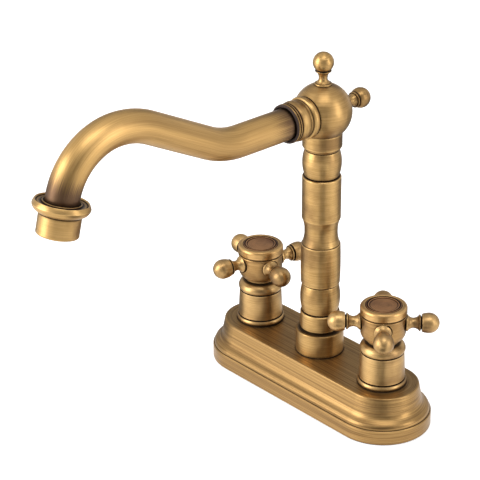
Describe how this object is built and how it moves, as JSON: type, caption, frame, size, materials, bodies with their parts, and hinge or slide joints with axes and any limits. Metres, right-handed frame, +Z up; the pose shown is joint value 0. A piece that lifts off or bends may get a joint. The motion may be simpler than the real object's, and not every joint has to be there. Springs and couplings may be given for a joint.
{
  "type": "basin mixer tap",
  "caption": "Deck-mounted basin mixer tap in antique brass: moulded base plate, turned column with a swivelling swan-neck spout, and cross handles on conical bells.",
  "frame": {"origin": "on the deck plane under the base plate, on the spout's swivel axis", "axes": "+Z up out of the deck, along the column; +X along the base plate towards the cold handle; the spout points to -Y at rest"},
  "size_m": [0.1598, 0.2274, 0.2604],
  "materials": {
    "antique_brass": "brushed antique brass with brown patina in the grooves",
    "dark_patina": "dark reddish-brown patina",
    "raw_brass": "machined brass",
    "rubber": "black moulded rubber",
    "nylon": "natural nylon",
    "ceramic": "lapped alumina ceramic",
    "stainless": "stainless screw"
  },
  "bodies": {
    "base": {"base_plate": "antique_brass", "base_gasket": "rubber", "waterway_body": "raw_brass", "spout_nut": "antique_brass", "hot_shank": "raw_brass", "hot_shank_washer": "rubber", "hot_shank_nut": "raw_brass", "hot_bell": "antique_brass", "hot_cartridge_body": "raw_brass", "hot_seat_seal": "rubber", "hot_fixed_disc": "ceramic", "cold_shank": "raw_brass", "cold_shank_washer": "rubber", "cold_shank_nut": "raw_brass", "cold_bell": "antique_brass", "cold_cartridge_body": "raw_brass", "cold_seat_seal": "rubber", "cold_fixed_disc": "ceramic"},
    "spout": {"column_foot": "antique_brass", "swivel_ring": "nylon", "spigot_o_rings": "rubber", "riser_tube": "raw_brass", "lower_bead": "antique_brass", "column_sleeve": "antique_brass", "upper_bead": "antique_brass", "head_collar": "antique_brass", "head_ball": "antique_brass", "top_finial": "antique_brass", "rear_finial": "antique_brass", "spout_collar": "antique_brass", "guide_ring": "rubber", "collar_seal": "rubber", "spout_tube": "antique_brass", "spout_nozzle": "antique_brass", "aerator_washer": "rubber", "aerator_housing": "raw_brass", "aerator_insert": "nylon"},
    "hot_handle": {"hot_hub": "antique_brass", "hot_cap": "antique_brass", "hot_index_disc": "dark_patina", "hot_handle_screw": "stainless", "hot_arm_1": "antique_brass", "hot_arm_2": "antique_brass", "hot_arm_3": "antique_brass", "hot_arm_4": "antique_brass", "hot_stem": "raw_brass", "hot_moving_disc": "ceramic", "hot_stem_o_rings": "rubber"},
    "cold_handle": {"cold_hub": "antique_brass", "cold_cap": "antique_brass", "cold_index_disc": "dark_patina", "cold_handle_screw": "stainless", "cold_arm_1": "antique_brass", "cold_arm_2": "antique_brass", "cold_arm_3": "antique_brass", "cold_arm_4": "antique_brass", "cold_stem": "raw_brass", "cold_moving_disc": "ceramic", "cold_stem_o_rings": "rubber"}
  },
  "joints": [
    {"name": "spout_swivel", "type": "hinge", "parent": "base", "child": "spout", "pos_m": [0, 0, 0.033], "axis": [0, 0, 1], "continuous": true},
    {"name": "hot_handle_turn", "type": "hinge", "parent": "base", "child": "hot_handle", "pos_m": [-0.0508, 0, 0.052], "axis": [0, 0, 1], "range_deg": [0, 90]},
    {"name": "cold_handle_turn", "type": "hinge", "parent": "base", "child": "cold_handle", "pos_m": [0.0508, 0, 0.052], "axis": [0, 0, 1], "range_deg": [-90, 0]}
  ]
}
